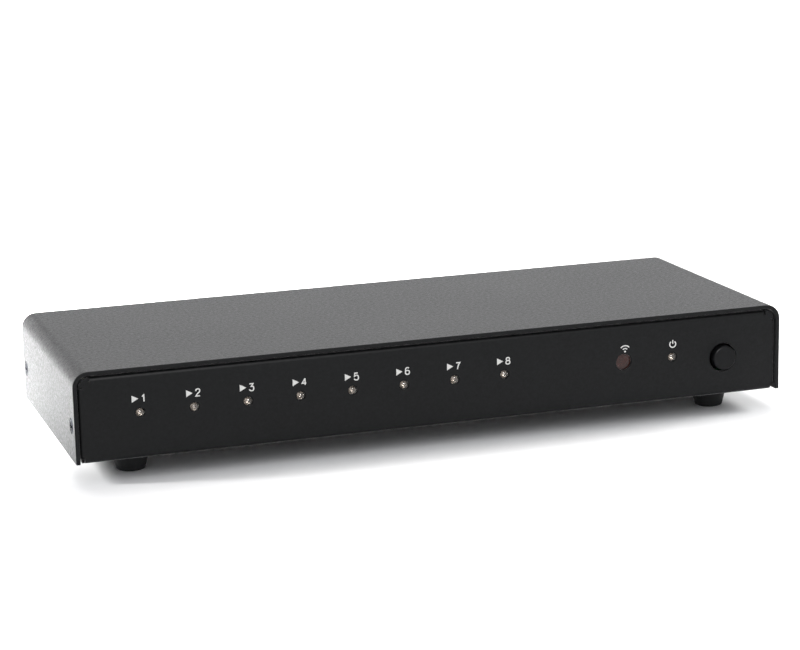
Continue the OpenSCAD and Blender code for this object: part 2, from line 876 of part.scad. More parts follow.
// Folded shell of a video socket: a slant-sided tube with two spring fingers and four legs
module socket_shell(x) {
  translate([x, 0, foot_h]) {
    difference() {
      translate([0, 0, socket_low])
        along_y(socket_mouth_y, socket_l)
          socket_figure(shell_t);
      translate([0, 0, socket_low])
        along_y(socket_mouth_y + cut_over, socket_l + 2 * cut_over)
          socket_figure(0);
      for (side = [-1, 1])
        translate([side * finger_x - finger_w / 2 - finger_gap, finger_y, socket_low + socket_h - cut_over])
          cube([finger_w + 2 * finger_gap, finger_l + finger_gap, shell_t + 2 * cut_over]);
    }
    for (side = [-1, 1])
      translate([side * finger_x - finger_w / 2, finger_y - finger_gap, socket_low + socket_h])
        rotate([-finger_tilt, 0, 0])
          cube([finger_w, finger_l + finger_gap / 2, shell_t]);
    for (y = leg_ys)
      for (side = [0, 1])
        mirror([side, 0, 0])
          translate([socket_w / 2, y, board_low - leg_below])
            cube([shell_t, leg_w, board_t + leg_below + socket_h]);
  }
}

module input_shell_1() color(nickel_grey) socket_shell(socket_xs[0]);
module input_shell_2() color(nickel_grey) socket_shell(socket_xs[1]);
module input_shell_3() color(nickel_grey) socket_shell(socket_xs[2]);
module input_shell_4() color(nickel_grey) socket_shell(socket_xs[3]);
module input_shell_5() color(nickel_grey) socket_shell(socket_xs[4]);
module input_shell_6() color(nickel_grey) socket_shell(socket_xs[5]);
module input_shell_7() color(nickel_grey) socket_shell(socket_xs[6]);
module input_shell_8() color(nickel_grey) socket_shell(socket_xs[7]);
module output_shell() color(nickel_grey) socket_shell(output_x);

// Insulator that closes the rear of a shell, and the tongue that carries the contacts
module socket_tongue(x) {
  translate([x, 0, foot_h]) {
    translate([0, 0, socket_low])
      along_y(tongue_y, insulator_l)
        socket_figure(-seat_air);
    translate([-tongue_w / 2, tongue_y, tongue_low])
      cube([tongue_w, tongue_l, tongue_t]);
  }
}

module input_tongue_1() color(resin_black) socket_tongue(socket_xs[0]);
module input_tongue_2() color(resin_black) socket_tongue(socket_xs[1]);
module input_tongue_3() color(resin_black) socket_tongue(socket_xs[2]);
module input_tongue_4() color(resin_black) socket_tongue(socket_xs[3]);
module input_tongue_5() color(resin_black) socket_tongue(socket_xs[4]);
module input_tongue_6() color(resin_black) socket_tongue(socket_xs[5]);
module input_tongue_7() color(resin_black) socket_tongue(socket_xs[6]);
module input_tongue_8() color(resin_black) socket_tongue(socket_xs[7]);
module output_tongue() color(resin_black) socket_tongue(output_x);

// Contact strips on both faces of every tongue: ten above and nine below, set between them
module socket_contacts() color(contact_gold) translate([0, 0, foot_h]) {
  for (x = all_socket_xs) {
    for (i = [0:9])
      translate([x + (i - 4.5) * contact_pitch - contact_w / 2, tongue_y, tongue_low + tongue_t])
        cube([contact_w, contact_l, contact_t]);
    for (i = [0:8])
      translate([x + (i - 4) * contact_pitch - contact_w / 2, tongue_y, tongue_low - contact_t])
        cube([contact_w, contact_l, contact_t]);
  }
}

// Block of the power socket with its round nose, the bore and the groove of the spring leaf
module power_jack_body() color(resin_black) translate([jack_x, 0, foot_h]) {
  groove_low = jack_axis - jack_bore_d / 2 - jack_groove_depth;
  nose_l = jack_tip_y - jack_face_y + jack_nose_root;
  difference() {
    union() {
      translate([-jack_body_w / 2, jack_back_y, board_top])
        cube([jack_body_w, jack_body_l, jack_body_h]);
      rod_y(0, jack_face_y - jack_nose_root, jack_axis, jack_nose_d, nose_l);
    }
    rod_y(0, jack_tip_y - jack_bore_l, jack_axis, jack_bore_d, jack_bore_l + cut_over);
    translate([-jack_groove_w / 2, jack_tip_y - jack_bore_l, groove_low])
      cube([jack_groove_w, jack_leaf_l + jack_groove_end, jack_bore_d / 2]);
  }
}

// Centre pin with a rounded tip, standing on the bottom of the bore
module power_jack_pin() color(nickel_grey) {
  pin_l = jack_bore_l - jack_pin_setback - jack_pin_d / 2;
  translate([jack_x, jack_tip_y - jack_bore_l, foot_h + jack_axis])
    rotate([-90, 0, 0]) {
      cylinder(d = jack_pin_d, h = pin_l);
      translate([0, 0, pin_l])
        sphere(d = jack_pin_d);
    }
}

// Spring leaf in the bore's groove, and the solder tabs under the block
module power_jack_contacts() color(nickel_grey) translate([jack_x, 0, foot_h]) {
  leaf_low = jack_axis - jack_bore_d / 2 - jack_groove_depth + jack_leaf_air;
  translate([-jack_leaf_w / 2, jack_tip_y - jack_bore_l, leaf_low])
    rotate([jack_leaf_tilt, 0, 0])
      cube([jack_leaf_w, jack_leaf_l, jack_leaf_t]);
  for (y = jack_tab_ys)
    translate([-jack_tab_w / 2, y, board_low - lead_below])
      cube([jack_tab_w, jack_tab_t, board_t + lead_below]);
}

// Flat square package lying on the board
module flat_chip(x, y, w) {
  translate([x - w / 2, y - w / 2, foot_h + board_top])
    difference() {
      cube([w, w, chip_t]);
      translate([w * 0.14, w * 0.86, chip_t - chip_mark_depth])
        cylinder(d = w * 0.08, h = chip_mark_depth + cut_over);
    }
}

module switch_chip_1() color(chip_black) flat_chip(chip_xs[0], chip_y, chip_w);
module switch_chip_2() color(chip_black) flat_chip(chip_xs[1], chip_y, chip_w);
module switch_chip_3() color(chip_black) flat_chip(chip_xs[2], chip_y, chip_w);
module controller_chip() color(chip_black) flat_chip(controller_x, controller_y, controller_w);

// Metal can of the clock crystal, lying beside the controller
module crystal() color(nickel_grey) translate([controller_x, crystal_y, foot_h + board_top]) {
  translate([(crystal_w - crystal_l) / 2, -crystal_w / 2, 0])
    cube([crystal_l - crystal_w, crystal_w, crystal_h]);
  for (side = [-1, 1])
    translate([side * (crystal_l - crystal_w) / 2, 0, 0])
      cylinder(d = crystal_w, h = crystal_h);
}

// Three-legged regulator with a wide cooling tab
module voltage_regulator() color(chip_black) translate([jack_x, regulator_y, foot_h + board_top]) {
  translate([-regulator_w / 2, -regulator_d / 2, 0])
    cube([regulator_w, regulator_d, regulator_h]);
  translate([-regulator_tab_w / 2, regulator_d / 2, 0])
    cube([regulator_tab_w, regulator_leg_l, regulator_leg_t]);
  for (step = [-1, 0, 1])
    translate([step * regulator_leg_pitch - regulator_leg_w / 2, -regulator_d / 2 - regulator_leg_l, 0])
      cube([regulator_leg_w, regulator_leg_l, regulator_leg_t]);
}

// Wound coil between a square foot and a square lid
module power_inductor() color(chip_black) translate([jack_x, coil_y, foot_h + board_top]) {
  translate([-coil_w / 2, -coil_w / 2, 0])
    cube([coil_w, coil_w, coil_h / 4]);
  cylinder(d = coil_w - 2 * coil_lip, h = coil_h);
  translate([-coil_w / 2, -coil_w / 2, coil_h * 3 / 4])
    cube([coil_w, coil_w, coil_h / 4]);
}

// Three upright capacitor cans on square feet
module power_capacitors() color(zinc_grey) {
  for (spot = can_spots)
    translate([spot[0], spot[1], foot_h + board_top]) {
      translate([-can_d / 2, -can_d / 2, 0])
        cube([can_d, can_d, can_foot_t]);
      cylinder(d = can_d - 2 * can_foot_lip, h = can_h);
    }
}

cover();
chassis();
cover_screws();
foot_front_left();
foot_front_right();
foot_rear_left();
foot_rear_right();
foot_screws();
main_board();
board_standoffs();
board_screws();
input_light_1();
input_light_2();
input_light_3();
input_light_4();
input_light_5();
input_light_6();
input_light_7();
input_light_8();
power_light();
lead_wires();
eye_window();
eye_receiver();
button_cap();
button_stem();
switch_body();
switch_base();
switch_spring();
input_shell_1();
input_shell_2();
input_shell_3();
input_shell_4();
input_shell_5();
input_shell_6();
input_shell_7();
input_shell_8();
output_shell();
input_tongue_1();
input_tongue_2();
input_tongue_3();
input_tongue_4();
input_tongue_5();
input_tongue_6();
input_tongue_7();
input_tongue_8();
output_tongue();
socket_contacts();
power_jack_body();
power_jack_pin();
power_jack_contacts();
switch_chip_1();
switch_chip_2();
switch_chip_3();
controller_chip();
crystal();
voltage_regulator();
power_inductor();
power_capacitors();
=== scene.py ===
import json
from math import cos, pi, radians, sin

import bmesh
import bpy
from mathutils import Matrix, Vector


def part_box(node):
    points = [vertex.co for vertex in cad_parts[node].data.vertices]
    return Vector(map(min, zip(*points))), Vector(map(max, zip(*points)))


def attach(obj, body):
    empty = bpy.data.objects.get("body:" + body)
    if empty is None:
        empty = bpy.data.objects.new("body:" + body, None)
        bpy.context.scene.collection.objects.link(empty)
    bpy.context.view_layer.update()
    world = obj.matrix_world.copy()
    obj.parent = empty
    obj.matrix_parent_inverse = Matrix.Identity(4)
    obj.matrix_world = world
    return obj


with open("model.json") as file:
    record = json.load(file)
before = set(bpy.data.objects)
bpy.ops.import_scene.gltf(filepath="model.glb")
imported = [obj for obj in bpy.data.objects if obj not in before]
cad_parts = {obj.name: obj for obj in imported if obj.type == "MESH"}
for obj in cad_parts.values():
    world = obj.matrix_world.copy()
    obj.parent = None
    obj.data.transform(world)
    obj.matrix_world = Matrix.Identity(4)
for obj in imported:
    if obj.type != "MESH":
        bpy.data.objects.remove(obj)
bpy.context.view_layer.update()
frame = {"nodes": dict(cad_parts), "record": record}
nodes = frame["nodes"]
scene = bpy.context.scene
scene.view_settings.view_transform = "Standard"
mm = 0.001
print("frame loaded:", len(nodes), "nodes")


# camera, solved from the corners of the box
cameraView = {
    "place": (-0.270438, -0.817088, 0.231040),
    "yaw": 18.353,      # degrees, turned to the right of straight ahead
    "pitch": 12.931,    # degrees, looking down
    "roll": -1.2345,
    "lensMm": 106.05,
    "sensorMm": 36.0,
}


def makeCamera(view):
    yaw, pitch, roll = (radians(view[key]) for key in ("yaw", "pitch", "roll"))
    ahead = Vector((sin(yaw) * cos(pitch), cos(yaw) * cos(pitch), -sin(pitch)))
    right = Vector((cos(yaw), -sin(yaw), 0))
    up = right.cross(ahead)
    sideways = right * cos(roll) + up * sin(roll)
    upright = up * cos(roll) - right * sin(roll)
    data = bpy.data.cameras.new("viewCamera")
    data.lens = view["lensMm"]
    data.sensor_width = view["sensorMm"]
    data.sensor_fit = "HORIZONTAL"
    data.clip_start = 0.01
    camera = bpy.data.objects.new("viewCamera", data)
    turn = Matrix((sideways, upright, -ahead)).transposed()
    camera.matrix_world = Matrix.Translation(view["place"]) @ turn.to_4x4()
    scene.collection.objects.link(camera)
    scene.camera = camera


makeCamera(cameraView)
print("camera set")


def hexToLinear(code):
    parts = [int(code[i:i + 2], 16) / 255 for i in (1, 3, 5)]
    linear = [v / 12.92 if v <= 0.04045 else ((v + 0.055) / 1.055) ** 2.4 for v in parts]
    return linear + [1.0]


def addNode(tree, kind, settings=None, links=None):
    node = tree.nodes.new("ShaderNode" + kind)
    for key, value in (settings or {}).items():
        if isinstance(key, int) or key in node.inputs:
            constant = hexToLinear(value) if isinstance(value, str) else value
            node.inputs[key].default_value = constant
        else:
            setattr(node, key, value)
    for key, socket in (links or {}).items():
        tree.links.new(socket, node.inputs[key])
    return node


def newMaterial(name, surface):
    material = bpy.data.materials.new(name)
    material.use_nodes = True
    tree = material.node_tree
    tree.nodes.clear()
    shader = addNode(tree, "BsdfPrincipled", surface)
    addNode(tree, "OutputMaterial", None, {"Surface": shader.outputs[0]})
    place = addNode(tree, "TexCoord").outputs["Object"]
    return material, tree, shader, place


def perMetre(sizeMm):
    return 1 / (sizeMm * mm)    # texture scale that gives features of this size


# colour, gloss and relief of a finish: the mask runs from the dark to the light tint and from the
# smoother to the rougher gloss, and each relief is a height with its depth in mm and its strength
maskSpan = (0.3, 0.7)    # where a noise has nearly all its values


def dressSurface(tree, shader, look, mask, reliefs):
    ramp = addNode(tree, "ValToRGB", None, {"Fac": mask})
    for stop, position, tint in zip(ramp.color_ramp.elements, maskSpan, (look["dark"], look["light"])):
        stop.position = position
        stop.color = hexToLinear(tint)
    tree.links.new(ramp.outputs["Color"], shader.inputs["Base Color"])
    gloss = addNode(tree, "MapRange", {
        "From Min": maskSpan[0], "From Max": maskSpan[1],
        "To Min": look["rough"][0], "To Max": look["rough"][1],
    }, {"Value": mask})
    tree.links.new(gloss.outputs["Result"], shader.inputs["Roughness"])
    below = {}
    for height, depthMm, strength in reliefs:
        bump = addNode(tree, "Bump", {"Strength": strength, "Distance": depthMm * mm},
                       {"Height": height, **below})
        below = {"Normal": bump.outputs["Normal"]}
    tree.links.new(below["Normal"], shader.inputs["Normal"])


# black powder coat on sheet steel, sprayed and baked: a satin skin with a fine pebble,
# nearly black from the front and greyer where light grazes it
powderCoat = {
    "dark": "#060708", "light": "#0e1012", "rough": (0.40, 0.52),
    "haze": (0.08, 0.88),   # grazing sheen, from the hollows to the tops of the pebbles
    "pebbleMm": 1.2,    # the real pebble is about 0.3 mm, drawn coarser so that it shows
    "pebbleRelief": (0.13, 0.8),
    "peelMm": 2.6, "peelRelief": (0.012, 0.4), "cloudMm": 45.0, "cloudShare": 0.3,
}


def makePowderCoat(look):
    surface = {"IOR": 1.5, "Specular IOR Level": 0.18, "Sheen Roughness": 0.32}
    material, tree, shader, place = newMaterial("bakedPowderCoat", surface)
    pebble = addNode(tree, "TexNoise", {"Scale": perMetre(look["pebbleMm"]), "Detail": 3.0,
                                        "Roughness": 0.8}, {"Vector": place}).outputs["Fac"]
    peel = addNode(tree, "TexNoise", {"Scale": perMetre(look["peelMm"]), "Detail": 1.0},
                   {"Vector": place}).outputs["Fac"]
    cloud = addNode(tree, "TexNoise", {"Scale": perMetre(look["cloudMm"]), "Detail": 2.0},
                    {"Vector": place}).outputs["Fac"]
    mask = addNode(tree, "Mix", {"Factor": look["cloudShare"]},
                   {"A": pebble, "B": cloud}).outputs["Result"]
    reliefs = [(peel, *look["peelRelief"]), (pebble, *look["pebbleRelief"])]
    dressSurface(tree, shader, look, mask, reliefs)
    haze = addNode(tree, "MapRange", {
        "From Min": maskSpan[0], "From Max": maskSpan[1],
        "To Min": look["haze"][0], "To Max": look["haze"][1],
    }, {"Value": pebble})
    tree.links.new(haze.outputs["Result"], shader.inputs["Sheen Weight"])
    return material


# steel screws blackened in a hot bath: dark metal, a little brighter where the bath ran thin
blackScrew = {
    "dark": "#1d1e20", "light": "#36373a", "rough": (0.20, 0.32),
    "edge": "#c2c3c6",  # tint of what the head mirrors at a grazing angle
    "grainMm": 0.5, "grainRelief": (0.01, 0.3),
}


def makeBlackScrew(look):
    surface = {"Metallic": 1.0, "Specular Tint": look["edge"]}
    material, tree, shader, place = newMaterial("blackenedSteel", surface)
    grain = addNode(tree, "TexNoise", {"Scale": perMetre(look["grainMm"]), "Detail": 3.0},
                    {"Vector": place}).outputs["Fac"]
    dressSurface(tree, shader, look, grain, [(grain, *look["grainRelief"])])
    return material


# zinc-plated steel, barrel plated: bright with a faint blue and yellow cast in patches
zincSteel = {
    "dark": "#a9aeb4", "light": "#c9c8c0", "rough": (0.24, 0.38), "patchMm": 2.2,
    "scratchMm": 0.3, "scratchRelief": (0.004, 0.2),
}


def makeZincSteel(look):
    material, tree, shader, place = newMaterial("zincPlatedSteel", {"Metallic": 1.0})
    patch = addNode(tree, "TexNoise", {"Scale": perMetre(look["patchMm"]), "Detail": 2.0},
                    {"Vector": place}).outputs["Fac"]
    scratch = addNode(tree, "TexNoise", {"Scale": perMetre(look["scratchMm"]), "Detail": 4.0},
                      {"Vector": place}).outputs["Fac"]
    dressSurface(tree, shader, look, patch, [(scratch, *look["scratchRelief"])])
    return material


# moulded rubber: dull black, a fine spark-eroded mould grain and a dusting of bloom
footRubber = {
    "dark": "#131415", "light": "#202122", "rough": (0.66, 0.80), "bloomMm": 5.0,
    "grainMm": 0.4, "grainRelief": (0.02, 0.35),
}


def makeFootRubber(look):
    surface = {"IOR": 1.52, "Specular IOR Level": 0.3}
    material, tree, shader, place = newMaterial("mouldedRubber", surface)
    grain = addNode(tree, "TexNoise", {"Scale": perMetre(look["grainMm"]), "Detail": 2.0},
                    {"Vector": place}).outputs["Fac"]
    bloom = addNode(tree, "TexNoise", {"Scale": perMetre(look["bloomMm"]), "Detail": 3.0},
                    {"Vector": place}).outputs["Fac"]
    dressSurface(tree, shader, look, bloom, [(grain, *look["grainRelief"])])
    return material


# glass-fibre laminate under green solder mask: glossy, with paler lines where copper runs below
boardLaminate = {
    "dark": "#0c3a20", "light": "#175c33", "rough": (0.26, 0.36),
    "trackMm": 4.8, "trackRelief": (0.03, 0.3), "weaveMm": 0.5, "weaveRelief": (0.005, 0.2),
}


def makeBoardLaminate(look):
    material, tree, shader, place = newMaterial("solderMask", {"IOR": 1.55})
    tracks = addNode(tree, "TexBrick", {
        "Scale": perMetre(look["trackMm"]), "Mortar Size": 0.06, "Mortar Smooth": 0.3,
        "Color1": "#7c7c7c", "Color2": "#aaaaaa", "Mortar": "#f3f3f3",
    }, {"Vector": place})
    weave = addNode(tree, "TexNoise", {"Scale": perMetre(look["weaveMm"]), "Detail": 2.0},
                    {"Vector": place}).outputs["Fac"]
    reliefs = [(tracks.outputs["Fac"], *look["trackRelief"]), (weave, *look["weaveRelief"])]
    dressSurface(tree, shader, look, tracks.outputs["Color"], reliefs)
    return material


# cast epoxy of the lights: water-clear with a faint haze, glossy dome
lightEpoxy = {
    "dark": "#dcd3cb", "light": "#e8e2dc", "rough": (0.05, 0.12),
    "hazeMm": 0.8, "hazeRelief": (0.006, 0.2),
}


def makeLightEpoxy(look):
    surface = {"IOR": 1.54, "Transmission Weight": 0.95}
    material, tree, shader, place = newMaterial("castEpoxy", surface)
    haze = addNode(tree, "TexNoise", {"Scale": perMetre(look["hazeMm"]), "Detail": 2.0},
                   {"Vector": place}).outputs["Fac"]
    dressSurface(tree, shader, look, haze, [(haze, *look["hazeRelief"])])
    return material


# dyed acrylic that lets infra-red through: dark red-brown and glossy, with fine wipe marks
eyeAcrylic = {
    "dark": "#3a1c17", "light": "#4c2822", "rough": (0.08, 0.16),
    "wipeMm": 1.4, "wipeRelief": (0.004, 0.2),
}


def makeEyeAcrylic(look):
    surface = {"IOR": 1.49, "Specular IOR Level": 0.36, "Transmission Weight": 0.25}
    material, tree, shader, place = newMaterial("dyedAcrylic", surface)
    wipe = addNode(tree, "TexNoise", {"Scale": perMetre(look["wipeMm"]), "Detail": 3.0},
                   {"Vector": place}).outputs["Fac"]
    dressSurface(tree, shader, look, wipe, [(wipe, *look["wipeRelief"])])
    return material


# moulded ABS: black with a fine spark-eroded texture, a little glossier where fingers touch
buttonPlastic = {
    "dark": "#0a0b0c", "light": "#121315", "rough": (0.34, 0.46), "touchMm": 4.0,
    "grainMm": 0.35, "grainRelief": (0.012, 0.3),
}


def makeButtonPlastic(look):
    surface = {"IOR": 1.54, "Specular IOR Level": 0.14}
    material, tree, shader, place = newMaterial("mouldedAbs", surface)
    grain = addNode(tree, "TexNoise", {"Scale": perMetre(look["grainMm"]), "Detail": 2.0},
                    {"Vector": place}).outputs["Fac"]
    touch = addNode(tree, "TexNoise", {"Scale": perMetre(look["touchMm"]), "Detail": 2.0},
                    {"Vector": place}).outputs["Fac"]
    dressSurface(tree, shader, look, touch, [(grain, *look["grainRelief"])])
    return material


# natural nylon: milky and waxy, with flow marks from the mould
stemNylon = {
    "dark": "#cfccc0", "light": "#e2dfd4", "rough": (0.38, 0.50),
    "flowMm": 3.0, "flowRelief": (0.01, 0.2),
}


def makeStemNylon(look):
    surface = {"IOR": 1.53, "Subsurface Weight": 0.2, "Subsurface Scale": 0.001}
    material, tree, shader, place = newMaterial("mouldedNylon", surface)
    flow = addNode(tree, "TexNoise", {"Scale": perMetre(look["flowMm"]), "Detail": 2.0},
                   {"Vector": place}).outputs["Fac"]
    dressSurface(tree, shader, look, flow, [(flow, *look["flowRelief"])])
    return material


# glass-filled moulding resin of the sockets: black, matt, with a short-fibre sparkle
socketResin = {
    "dark": "#0a0a0b", "light": "#19191a", "rough": (0.45, 0.60),
    "fibreMm": 0.35, "fibreRelief": (0.01, 0.3),
}


def makeSocketResin(look):
    surface = {"IOR": 1.6, "Specular IOR Level": 0.4}
    material, tree, shader, place = newMaterial("glassFilledResin", surface)
    fibre = addNode(tree, "TexNoise", {"Scale": perMetre(look["fibreMm"]), "Detail": 3.0,
                                       "Roughness": 0.7}, {"Vector": place}).outputs["Fac"]
    dressSurface(tree, shader, look, fibre, [(fibre, *look["fibreRelief"])])
    return material


# nickel plate on folded brass sheet: warm silver with fine draw lines along the fold
nickelPlate = {
    "dark": "#b4afa5", "light": "#d2cec5", "rough": (0.20, 0.32), "patchMm": 3.0,
    "lineMm": 0.25, "lineRelief": (0.004, 0.25), "lineSquash": (1, 0.06, 1),
}


def makeNickelPlate(look):
    material, tree, shader, place = newMaterial("nickelPlate", {"Metallic": 1.0})
    drawn = addNode(tree, "Mapping", {"Scale": look["lineSquash"]}, {"Vector": place}).outputs["Vector"]
    lines = addNode(tree, "TexNoise", {"Scale": perMetre(look["lineMm"]), "Detail": 2.0},
                    {"Vector": drawn}).outputs["Fac"]
    patch = addNode(tree, "TexNoise", {"Scale": perMetre(look["patchMm"]), "Detail": 2.0},
                    {"Vector": place}).outputs["Fac"]
    dressSurface(tree, shader, look, patch, [(lines, *look["lineRelief"])])
    return material


# thin gold over nickel on stamped contacts: warm yellow with wipe marks along the strip
goldPlate = {
    "dark": "#c99a3c", "light": "#e6bd62", "rough": (0.20, 0.34),
    "wipeMm": 0.4, "wipeRelief": (0.003, 0.2), "wipeSquash": (1, 0.1, 1),
}


def makeGoldPlate(look):
    material, tree, shader, place = newMaterial("flashGold", {"Metallic": 1.0})
    wiped = addNode(tree, "Mapping", {"Scale": look["wipeSquash"]}, {"Vector": place}).outputs["Vector"]
    wipe = addNode(tree, "TexNoise", {"Scale": perMetre(look["wipeMm"]), "Detail": 2.0},
                   {"Vector": wiped}).outputs["Fac"]
    dressSurface(tree, shader, look, wipe, [(wipe, *look["wipeRelief"])])
    return material


# transfer-moulded chip resin: charcoal, matt, with a fine sandy grain
chipResin = {
    "dark": "#18191b", "light": "#2a2b2d", "rough": (0.55, 0.70),
    "grainMm": 0.3, "grainRelief": (0.008, 0.3),
}


def makeChipResin(look):
    material, tree, shader, place = newMaterial("chipResin", {"IOR": 1.57})
    grain = addNode(tree, "TexNoise", {"Scale": perMetre(look["grainMm"]), "Detail": 3.0},
                    {"Vector": place}).outputs["Fac"]
    dressSurface(tree, shader, look, grain, [(grain, *look["grainRelief"])])
    return material


# deep-drawn aluminium can: soft silver with faint draw lines up the wall
canAluminium = {
    "dark": "#b9babb", "light": "#d3d4d5", "rough": (0.28, 0.40),
    "lineMm": 0.3, "lineRelief": (0.004, 0.25), "lineSquash": (1, 1, 0.05),
}


def makeCanAluminium(look):
    material, tree, shader, place = newMaterial("drawnAluminium", {"Metallic": 1.0})
    drawn = addNode(tree, "Mapping", {"Scale": look["lineSquash"]}, {"Vector": place}).outputs["Vector"]
    lines = addNode(tree, "TexNoise", {"Scale": perMetre(look["lineMm"]), "Detail": 2.0},
                    {"Vector": drawn}).outputs["Fac"]
    dressSurface(tree, shader, look, lines, [(lines, *look["lineRelief"])])
    return material


# white epoxy ink, screen printed: matt, a touch thinner at the mesh marks
whiteInk = {
    "dark": "#d9d9d6", "light": "#efefec", "rough": (0.50, 0.62),
    "meshMm": 0.25, "meshRelief": (0.004, 0.25),
}


def makeWhiteInk(look):
    surface = {"IOR": 1.5, "Specular IOR Level": 0.3}
    material, tree, shader, place = newMaterial("screenPrintInk", surface)
    grain = addNode(tree, "TexNoise", {"Scale": perMetre(look["meshMm"]), "Detail": 2.0},
                    {"Vector": place}).outputs["Fac"]
    dressSurface(tree, shader, look, grain, [(grain, *look["meshRelief"])])
    return material


# silver-plated lead frame inside the lights: dulled by tarnish and slightly frosted
silverFrame = {
    "dark": "#8c8781", "light": "#bab5af", "rough": (0.20, 0.32),
    "grainMm": 0.2, "grainRelief": (0.004, 0.2),
}


def makeSilverFrame(look):
    material, tree, shader, place = newMaterial("silveredFrame", {"Metallic": 1.0})
    grain = addNode(tree, "TexNoise", {"Scale": perMetre(look["grainMm"]), "Detail": 2.0},
                    {"Vector": place}).outputs["Fac"]
    dressSurface(tree, shader, look, grain, [(grain, *look["grainRelief"])])
    return material


finishes = {
    "powder_coat": makePowderCoat(powderCoat),
    "black_screw": makeBlackScrew(blackScrew),
    "zinc_steel": makeZincSteel(zincSteel),
    "foot_rubber": makeFootRubber(footRubber),
    "board_laminate": makeBoardLaminate(boardLaminate),
    "clear_epoxy": makeLightEpoxy(lightEpoxy),
    "tinted_acrylic": makeEyeAcrylic(eyeAcrylic),
    "button_plastic": makeButtonPlastic(buttonPlastic),
    "pale_plastic": makeStemNylon(stemNylon),
    "black_resin": makeSocketResin(socketResin),
    "nickel_plate": makeNickelPlate(nickelPlate),
    "gold_plate": makeGoldPlate(goldPlate),
    "chip_resin": makeChipResin(chipResin),
    "can_aluminium": makeCanAluminium(canAluminium),
    "white_ink": makeWhiteInk(whiteInk),
}
for entry in frame["record"]["subparts"]:
    mesh = nodes[entry["node"]].data
    mesh.materials.clear()
    mesh.materials.append(finishes[entry["material_slot"]])
print("finishes given:", len(finishes))


# paint and moulding leave no knife edges: small rounds on the pieces that show
edgeRounds = {    # radius in mm
    "cover": 0.22, "chassis": 0.18, "button_cap": 0.08, "power_jack_body": 0.2,
    "foot_front_left": 0.3, "foot_front_right": 0.3, "foot_rear_left": 0.3, "foot_rear_right": 0.3,
}


def roundEdges(piece, radius):
    join = piece.modifiers.new("joinSeams", "WELD")
    join.merge_threshold = 0.001 * mm
    flat = piece.modifiers.new("flatFaces", "DECIMATE")
    flat.decimate_type = "DISSOLVE"
    flat.angle_limit = radians(0.5)
    edge = piece.modifiers.new("edgeRound", "BEVEL")
    edge.width = radius * mm
    edge.segments = 2
    edge.limit_method = "ANGLE"
    edge.angle_limit = radians(38)
    edge.use_clamp_overlap = False
    shade = piece.modifiers.new("evenShade", "WEIGHTED_NORMAL")
    shade.keep_sharp = False


for name, radius in edgeRounds.items():
    roundEdges(nodes[name], radius)
print("edges rounded:", len(edgeRounds))


def addPiece(name, mesh, material):
    piece = bpy.data.objects.new(name, mesh)
    mesh.materials.clear()
    mesh.materials.append(material)
    scene.collection.objects.link(piece)
    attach(piece, "case")
    return piece


# a stroke of ink: a closed ribbon of even width along points in the panel's plane
def inkStroke(bm, points, width, depth, closed=False):
    count = len(points)
    sides = []
    for i, point in enumerate(points):
        before = points[i - 1] if i or closed else None
        after = points[(i + 1) % count] if i < count - 1 or closed else None
        ways = [(b - a).normalized() for a, b in ((before, point), (point, after)) if a and b]
        along = sum(ways, Vector((0, 0))).normalized()
        across = Vector((-along.y, along.x))
        reach = width / 2 / max(0.5, along.dot(ways[0]))
        sides.append((point + across * reach, point - across * reach))
    rings = []
    for left, right in sides:
        rings.append([bm.verts.new((spot.x, spot.y, z)) for spot, z in
                      ((left, 0), (right, 0), (right, depth), (left, depth))])
    steps = count if closed else count - 1
    for i in range(steps):
        a, b = rings[i], rings[(i + 1) % count]
        for k in range(4):
            bm.faces.new((a[k], a[(k + 1) % 4], b[(k + 1) % 4], b[k]))
    if not closed:
        bm.faces.new(rings[0][::-1])
        bm.faces.new(rings[-1])


def inkPatch(bm, points, depth):
    low = [bm.verts.new((p.x, p.y, 0)) for p in points]
    high = [bm.verts.new((p.x, p.y, depth)) for p in points]
    bm.faces.new(low[::-1])
    bm.faces.new(high)
    for i in range(len(points)):
        k = (i + 1) % len(points)
        bm.faces.new((low[i], low[k], high[k], high[i]))


def arcPoints(centre, radius, start, end, steps):
    turns = [radians(start + (end - start) * i / steps) for i in range(steps + 1)]
    return [centre + Vector((cos(t), sin(t))) * radius for t in turns]


# printed marks over the lights: an arrow head and a plain number for each input,
# wave arcs over the eye, a ring and bar over the power light
inkMarks = {
    "heightMm": 2.8, "strokeMm": 0.42, "depthMm": 0.03,
    "layerMm": 0.004,       # each further stroke of a number lies this much higher
    "aboveMm": 28.4,        # height of the marks' middle over the table
    "inputPitchMm": 19.05, "firstInputMm": -109.9, "inputShiftMm": -0.35,
    "eyeMm": 70.5, "powerMm": 89.6,
    "arrowMm": 2.3, "arrowShare": 0.88,     # length of the arrow head, and its height against the mark's
    "numberGapMm": 0.9, "numberWideMm": 1.9,
    "cornerClear": 1.4,     # stroke widths kept free of curve points at a corner
    "dotMm": 0.36, "dotUpMm": 0.35, "waveMm": (1.15, 2.2), "waveSpan": (42, 138),   # radii, degrees
    "ringSpan": (128, 412), "ringDownMm": 0.1, "barUpMm": 0.05,
}
